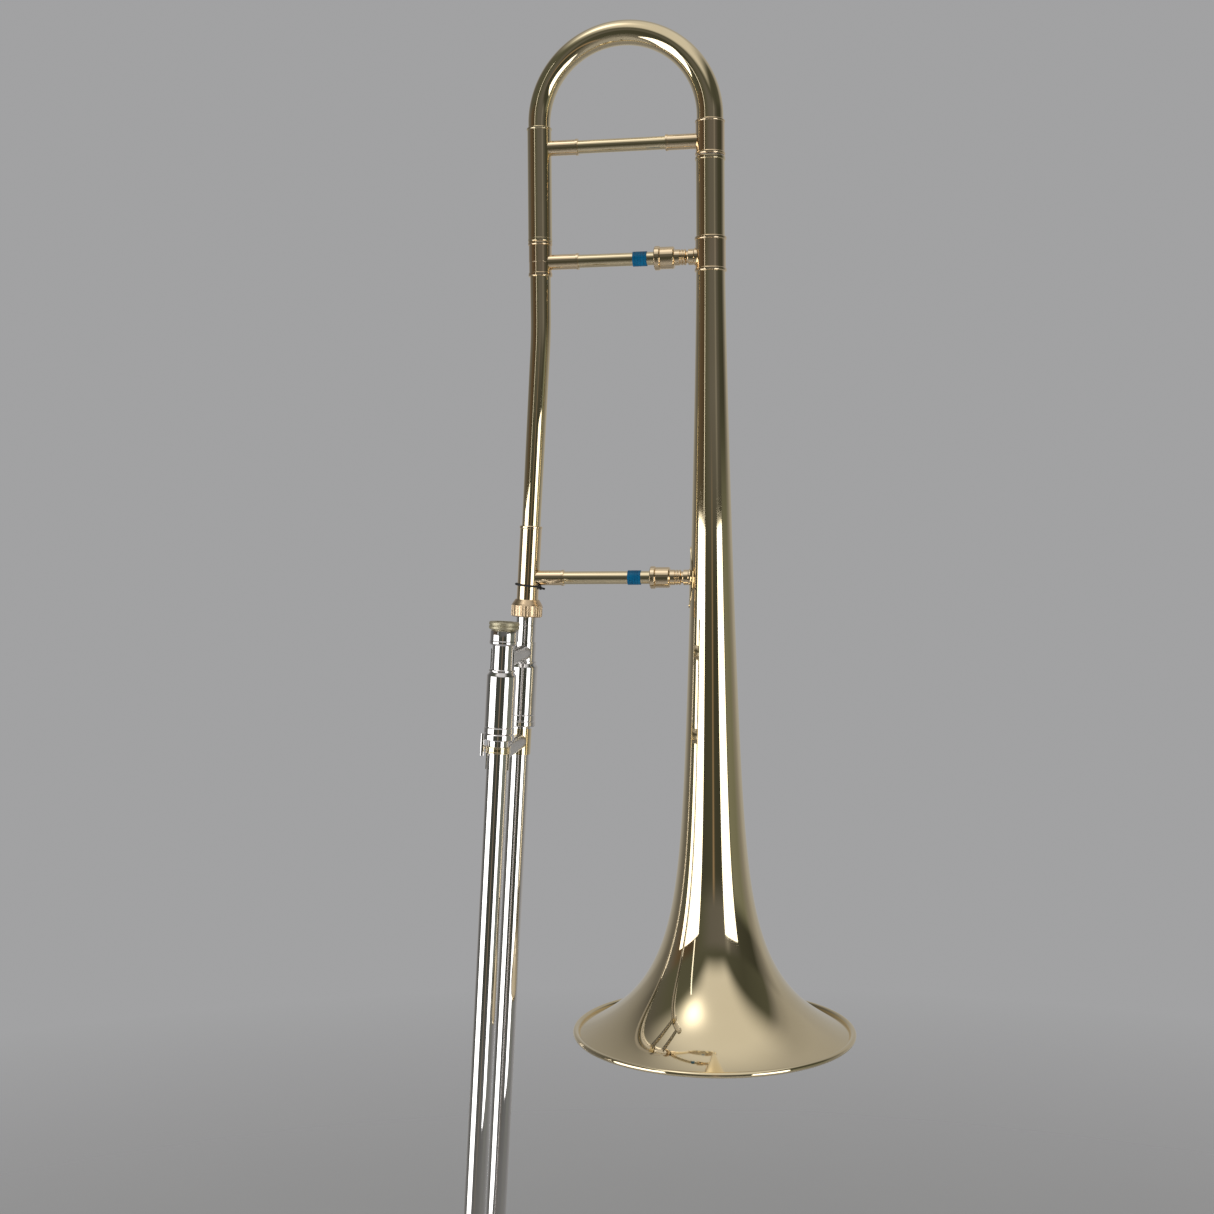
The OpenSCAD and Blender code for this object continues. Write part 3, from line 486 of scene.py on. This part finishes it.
# The cone: added radius at the mouth, height where it ends, power. The flare: height scale, power
BELL_CONE = (16.8 * MM, 545 * MM, 1.31)
BELL_FLARE = (35.6 * MM, 0.933)
SHEET = 0.5 * MM
LIP = 0.6 * MM
SMALL_STEP = 1e-6
BELL_SHEETS = ["bell_flare", "bell_stem"]
BELL_SIDES = 256
BELL_STEPS = 220
WIRE_STEPS = 48
ROLL_GROOVE = 0.3 * MM
wire_low, wire_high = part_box("bell_rim_wire")
wire_r = (wire_high.z - wire_low.z) / 2
rim_radius = wire_high.x
roll_radius = rim_radius - 2 * wire_r - ROLL_GROOVE
bell_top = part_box("bell_stem")[1].z


def bell_radius(z):
    """The outside of the bell: a long slow cone, and a flare that grows toward the mouth."""
    add, height, power = BELL_CONE
    flare = (rim_radius - BELL_STEM - add) * math.exp(-(z / BELL_FLARE[0]) ** BELL_FLARE[1])
    return BELL_STEM + add * max(0.0, 1 - z / height) ** power + flare


def bell_loop():
    """The outline of the sheet, outside up and inside down, with the groove where it rolls over the wire."""
    outer, inner = [], []
    for i in range(BELL_STEPS + 1):
        z = LIP + (BELL_CONE[1] - LIP) * (i / BELL_STEPS) ** 2
        slope = (bell_radius(z + SMALL_STEP) - bell_radius(z)) / SMALL_STEP
        inward = SHEET / math.hypot(1, slope)
        outer.append(Vector((bell_radius(z), z)))
        if abs(outer[-1].x - roll_radius) < ROLL_GROOVE:
            outer[-1].y -= ROLL_GROOVE
        inner.append(Vector((bell_radius(z) - inward, z + inward * slope)))
    top = [Vector((BELL_STEM, bell_top)), Vector((BELL_STEM - SHEET, bell_top))]
    return outer + top + inner[::-1]


def wire_loop():
    middle = Vector((rim_radius - wire_r, wire_low.z + wire_r))
    angles = [2 * math.pi * k / WIRE_STEPS for k in range(WIRE_STEPS)]
    return [middle + wire_r * Vector((math.cos(a), math.sin(a))) for a in angles]


stand_in("bell", *spun(bell_loop(), BELL, BELL_SIDES), BELL_SHEETS)
stand_in("bell_rim_wire", *spun(wire_loop(), BELL, BELL_SIDES))

# ---------- Bent tubes ----------

BEND_SIDES = 96
BEND_STEPS = 96
BOW_FOOT = 1 * MM
END_GUARD = 0.4 * MM
NECK_BEND_RADIUS = 420 * MM
NECK_BEND_STEPS = 24
NECK_FOOT_RADIUS = 6.75 * MM
NECK_ARM_STATIONS = (0.2, 0.6)
BOW_SHEET = 0.3 * MM
SIDEWAYS = Vector((0, 1, 0))


def tuning_bow():
    """A half circle between the legs that narrows evenly from the bell side to the neck side."""
    low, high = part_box("tuning_bow")
    ring = leg_spacing / 2
    r_bell, r_neck = high.x, -low.x - leg_spacing
    middle = high.z - ring - (r_bell + r_neck) / 2
    rings = []
    for z in (low.z, low.z + BOW_FOOT):
        rings.append((Vector((0, 0, z)), Vector((1, 0, 0)), SIDEWAYS, r_bell, r_bell - SHEET))
    for k in range(BEND_STEPS + 1):
        u = k / BEND_STEPS
        a = math.pi * u
        r = r_bell + (r_neck - r_bell) * u
        at = Vector((-ring * (1 - math.cos(a)), 0, middle + ring * math.sin(a)))
        rings.append((at, Vector((math.cos(a), 0, math.sin(a))), SIDEWAYS, r, r - SHEET))
    for z in (low.z + BOW_FOOT, low.z):
        rings.append((Vector((-leg_spacing, 0, z)), Vector((-1, 0, 0)), SIDEWAYS, r_neck, r_neck - SHEET))
    return ring_stack(rings, BEND_SIDES)


def neckpipe():
    """The pipe runs down its leg, bends on a long arc, and goes on along the slide's axis."""
    low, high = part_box("neckpipe")
    lean = math.atan2(slide_up.x, slide_up.z)
    r_top = high.x + leg_spacing
    bend = REAR.translation + slide_up * ((-leg_spacing - REAR.translation.x) / slide_up.x)
    arc_top = bend.z + NECK_BEND_RADIUS * math.tan(lean / 2)
    foot = (low.z + NECK_FOOT_RADIUS * math.sin(lean) - bend.z) / math.cos(lean)
    path = [(Vector((-leg_spacing, 0, high.z - drop)), 0.0) for drop in (0, END_GUARD, 3 * END_GUARD)]
    for k in range(NECK_BEND_STEPS + 1):
        a = lean * k / NECK_BEND_STEPS
        x = -leg_spacing - NECK_BEND_RADIUS * (1 - math.cos(a))
        path.append((Vector((x, 0, arc_top - NECK_BEND_RADIUS * math.sin(a))), a))
    path += [(bend + slide_up * (foot * t), lean) for t in NECK_ARM_STATIONS]
    path += [(bend + slide_up * (foot + rise), lean) for rise in (3 * END_GUARD, END_GUARD, 0)]
    length = high.z - bend.z - foot
    rings = []
    for at, a in path:
        u = (path[0][0] - at).length / length
        r = r_top + (NECK_FOOT_RADIUS - r_top) * u
        rings.append((at, Vector((math.cos(a), 0, -math.sin(a))), SIDEWAYS, r, r - SHEET))
    return ring_stack(rings, BEND_SIDES)


def slide_bow():
    """The half circle at the end of the hand slide, in the slide's own plane."""
    low, high = local_box("slide_bow", REAR)
    r = high.y
    ring = (high.y - low.y) / 2 - r
    turn = REAR.to_3x3()
    rings = []
    for k in range(BEND_STEPS + 1):
        a = math.pi * k / BEND_STEPS
        at = REAR @ Vector((0, -ring * (1 - math.cos(a)), high.z - ring * math.sin(a)))
        outward = turn @ Vector((0, math.cos(a), -math.sin(a)))
        rings.append((at, outward, turn @ Vector((1, 0, 0)), r, r - BOW_SHEET))
    return ring_stack(rings, BEND_SIDES)


stand_in("tuning_bow", *tuning_bow())
stand_in("neckpipe", *neckpipe())
stand_in("slide_bow", *slide_bow())

# ---------- Stage, lights and camera ----------

CAMERA_AZIMUTH = math.radians(10.0)
CAMERA_PITCH = math.radians(1.98)
CAMERA_ROLL = math.radians(-0.38)
CAMERA_AT = Vector((0.1232, -1.1314, 0.347))
SENSOR = 36.0
FOCAL_LENGTH = 47.15
BACKDROP = (0.36, 0.36, 0.365)
DAYLIGHT = (1, 0.985, 0.955)
WARM = (1, 0.74, 0.5)
OLIVE = (0.95, 1, 0.78)
CEILING = 0.70
LAMP_TIGHTNESS = 52
LAMP_BRIGHT = 2.5
# Edges of the white panel overhead: ground covered toward the camera or to the left, per unit of height
PANEL_BACK = (-0.66, -0.05)
PANEL_FRONT = (2.2, 1.15)
PANEL_RIGHT = (-1.05, -0.4)
PANEL_LEFT = (0.98, 0.3)
# Levels of the walls round the room: degrees left of the camera, level, tint
WALLS_LOW = [(-180, 0.42, DAYLIGHT), (-130, 0.40, DAYLIGHT), (-108, 0.25, DAYLIGHT), (-88, 0.20, OLIVE),
             (-62, 0.22, OLIVE), (-52, 0.06, OLIVE), (-14, 0.055, OLIVE), (-2, 0.06, OLIVE),
             (3, 0.34, WARM), (7, 0.07, OLIVE), (44, 0.06, OLIVE), (90, 0.10, OLIVE), (112, 0.13, DAYLIGHT),
             (126, 0.18, DAYLIGHT), (140, 0.30, DAYLIGHT), (156, 0.38, DAYLIGHT), (180, 0.42, DAYLIGHT)]
WALLS_HIGH = [(-180, 0.42, DAYLIGHT), (-128, 0.38, DAYLIGHT), (-112, 0.2, DAYLIGHT), (-92, 0.05, OLIVE),
              (-62, 0.06, OLIVE), (-38, 0.12, DAYLIGHT), (-30, 0.24, DAYLIGHT), (-22, 0.14, DAYLIGHT),
              (10, 0.13, DAYLIGHT), (36, 0.10, OLIVE), (60, 0.08, WARM), (86, 0.12, WARM),
              (106, 0.13, DAYLIGHT), (126, 0.15, DAYLIGHT), (148, 0.28, DAYLIGHT), (180, 0.42, DAYLIGHT)]
WALLS_TOP = [(-180, 0.38, DAYLIGHT), (-140, 0.42, DAYLIGHT), (-124, 0.38, DAYLIGHT), (-113, 0.3, DAYLIGHT),
             (-106, 0.19, DAYLIGHT), (-98, 0.09, OLIVE), (-60, 0.07, OLIVE), (0, 0.09, OLIVE),
             (90, 0.10, OLIVE), (124, 0.11, DAYLIGHT), (134, 0.18, DAYLIGHT), (144, 0.26, DAYLIGHT),
             (154, 0.31, DAYLIGHT), (180, 0.38, DAYLIGHT)]
# Heights, as the sine of the angle above level, between which one set of walls passes into the next
LOW_TO_HIGH = (0.02, 0.14)
HIGH_TO_TOP = (0.3, 0.42)
# Directions lower than this meet the panel's plane as if they were this high
PANEL_HORIZON = 0.02
SOFTBOX_DISTANCE = 1.45
# Upright softboxes: name, degrees left of the camera, foot, head, width, radiance
SOFTBOXES = [
    ("softbox_left", 63.5, -0.7, 0.471, 1.2, 2.6),
    ("softbox_left_slit", 49, 0.471, 1.55, 0.055, 1.6),
    ("softbox_right", -40, -0.7, 0.471, 0.78, 2.6),
]
FLOOR_SIZE = 12.0
FLOOR_FADE = (1.3, 4.2)
FLOOR_DARK, FLOOR_PALE = (0.44, 0.44, 0.45), (0.47, 0.47, 0.475)
# Room under the part for the drawn hand slide
SLIDE_ROOM = 0.66
VIEW_REACH = 50


def floor():
    """A plain pale floor under the fully drawn slide, that fades into the backdrop."""
    z = cad_low.z - SLIDE_ROOM
    corners = [(x * FLOOR_SIZE, y * FLOOR_SIZE, z) for x, y in ((-1, -1), (1, -1), (1, 1), (-1, 1))]
    mesh = bpy.data.meshes.new("floor")
    mesh.from_pydata(corners, [], [(0, 1, 2, 3)])
    piece = bpy.data.objects.new("floor", mesh)
    bpy.context.scene.collection.objects.link(piece)
    m = Paint("floor_paint")
    m.set(Base_Color=m.mixed(m.grain(3, 2), FLOOR_DARK, FLOOR_PALE), Roughness=0.9)
    apart = m.new("ShaderNodeVectorMath", operation="DISTANCE")
    apart.inputs[1].default_value = (0, 0, z)
    m.join(m.place, apart.inputs[0])
    fade = m.new("ShaderNodeMixShader")
    m.join(m.ranged(apart.outputs["Value"], *FLOOR_FADE), fade.inputs[0])
    m.join(m.shader.outputs[0], fade.inputs[1])
    m.join(m.new("ShaderNodeBsdfTransparent").outputs[0], fade.inputs[2])
    m.join(fade.outputs[0], m.tree.nodes["Material Output"].inputs["Surface"])
    mesh.materials.append(m.material)


def toward(left, up):
    """The direction at an angle left of the camera, seen from the bell, and above level."""
    a = CAMERA_AZIMUTH - math.pi / 2 - left
    return Vector((math.cos(a) * math.cos(up), math.sin(a) * math.cos(up), math.sin(up)))


LAMP_TOWARD = toward(math.radians(52), math.radians(60))


class Room(Tree):
    """The studio's surroundings: a lit backdrop behind, dark in front, a white panel above."""

    def __init__(self, name):
        world = bpy.data.worlds.new(name)
        bpy.context.scene.world = world
        world.use_nodes = True
        super().__init__(world.node_tree)
        self.tree.nodes.clear()
        self.place = self.new("ShaderNodeTexCoord").outputs["Generated"]
        self.front, self.left = self.along(toward(0, 0)), self.along(toward(math.pi / 2, 0))
        self.up = self.along((0, 0, 1))
        self.turn = self.ranged(self.maths("ARCTAN2", self.left, self.front), -math.pi, math.pi)

    def along(self, direction):
        node = self.new("ShaderNodeVectorMath", operation="DOT_PRODUCT")
        node.inputs[1].default_value = direction
        self.join(self.place, node.inputs[0])
        return node.outputs["Value"]

    def step(self, value, low, high):
        return self.ranged(value, low, high, interpolation_type="SMOOTHSTEP")

    def walls(self, stops):
        """A ramp of levels once round the room."""
        node = self.new("ShaderNodeValToRGB")
        while len(node.color_ramp.elements) < len(stops):
            node.color_ramp.elements.new(0.5)
        for element, (degrees, level, tint) in zip(node.color_ramp.elements, stops):
            element.position = (degrees + 180) / 360
            element.color = (*(level * part for part in tint), 1)
        self.join(self.turn, node.inputs["Fac"])
        return node.outputs["Color"]

    def panel(self):
        """How much of the panel overhead lies in a direction, from where that direction meets its plane."""
        height = self.maths("MAXIMUM", self.up, PANEL_HORIZON)
        ahead, aside = self.maths("DIVIDE", self.front, height), self.maths("DIVIDE", self.left, height)
        depth = self.maths("MULTIPLY", self.step(ahead, *PANEL_BACK), self.step(ahead, *PANEL_FRONT))
        width = self.maths("MULTIPLY", self.step(aside, *PANEL_RIGHT), self.step(aside, *PANEL_LEFT))
        return self.maths("MULTIPLY", depth, width)

    def lamp_glow(self):
        """A strength of one everywhere, more toward the lamp."""
        near = self.maths("MAXIMUM", self.along(LAMP_TOWARD), 0)
        lamp = self.maths("POWER", near, LAMP_TIGHTNESS)
        return self.maths("ADD", 1, self.maths("MULTIPLY", lamp, LAMP_BRIGHT))


def surroundings():
    """Lights the part by the room, and shows the camera an even grey."""
    room = Room("studio")
    walls = room.mixed(room.step(room.up, *LOW_TO_HIGH), room.walls(WALLS_LOW), room.walls(WALLS_HIGH))
    walls = room.mixed(room.step(room.up, *HIGH_TO_TOP), walls, room.walls(WALLS_TOP))
    lit, seen = room.new("ShaderNodeBackground"), room.new("ShaderNodeBackground")
    ceiling = tuple(CEILING * part for part in DAYLIGHT)
    room.join(room.mixed(room.panel(), walls, ceiling), lit.inputs["Color"])
    room.join(room.lamp_glow(), lit.inputs["Strength"])
    seen.inputs["Color"].default_value = (*BACKDROP, 1)
    choose = room.new("ShaderNodeMixShader")
    room.join(room.new("ShaderNodeLightPath").outputs["Is Camera Ray"], choose.inputs[0])
    room.join(lit.outputs[0], choose.inputs[1])
    room.join(seen.outputs[0], choose.inputs[2])
    room.join(choose.outputs[0], room.new("ShaderNodeOutputWorld").inputs["Surface"])


def softbox(name, left, low, high, width, radiance):
    """An upright area light at an angle left of the camera, seen from the bell."""
    out = toward(math.radians(left), 0)
    data = bpy.data.lights.new(name, "AREA")
    data.shape = "RECTANGLE"
    data.size, data.size_y = width, high - low
    data.energy = math.pi * width * (high - low) * radiance
    lamp = bpy.data.objects.new(name, data)
    lamp.location = out * SOFTBOX_DISTANCE + Vector((0, 0, (low + high) / 2))
    lamp.rotation_euler = (-out).to_track_quat("-Z", "Y").to_euler()
    lamp.visible_camera = False
    bpy.context.scene.collection.objects.link(lamp)


def camera():
    """The photograph's camera: turned, pitched a little down and rolled about its own axis."""
    data = bpy.data.cameras.new("camera")
    data.sensor_width = SENSOR
    data.lens = FOCAL_LENGTH
    data.clip_end = VIEW_REACH
    eye = bpy.data.objects.new("camera", data)
    right = Vector((math.cos(CAMERA_AZIMUTH), math.sin(CAMERA_AZIMUTH), 0))
    level = Vector((-right.y, right.x, 0))
    upright = Vector((0, 0, 1))
    up = math.sin(CAMERA_PITCH) * level + math.cos(CAMERA_PITCH) * upright
    ahead = math.cos(CAMERA_PITCH) * level - math.sin(CAMERA_PITCH) * upright
    tilted_right = math.cos(CAMERA_ROLL) * right + math.sin(CAMERA_ROLL) * up
    tilted_up = -math.sin(CAMERA_ROLL) * right + math.cos(CAMERA_ROLL) * up
    m = Matrix((tilted_right, tilted_up, -ahead)).transposed().to_4x4()
    m.translation = CAMERA_AT
    eye.matrix_world = m
    bpy.context.scene.collection.objects.link(eye)
    bpy.context.scene.camera = eye


floor()
surroundings()
for softbox_row in SOFTBOXES:
    softbox(*softbox_row)
camera()
bpy.context.scene.view_settings.view_transform = "Standard"
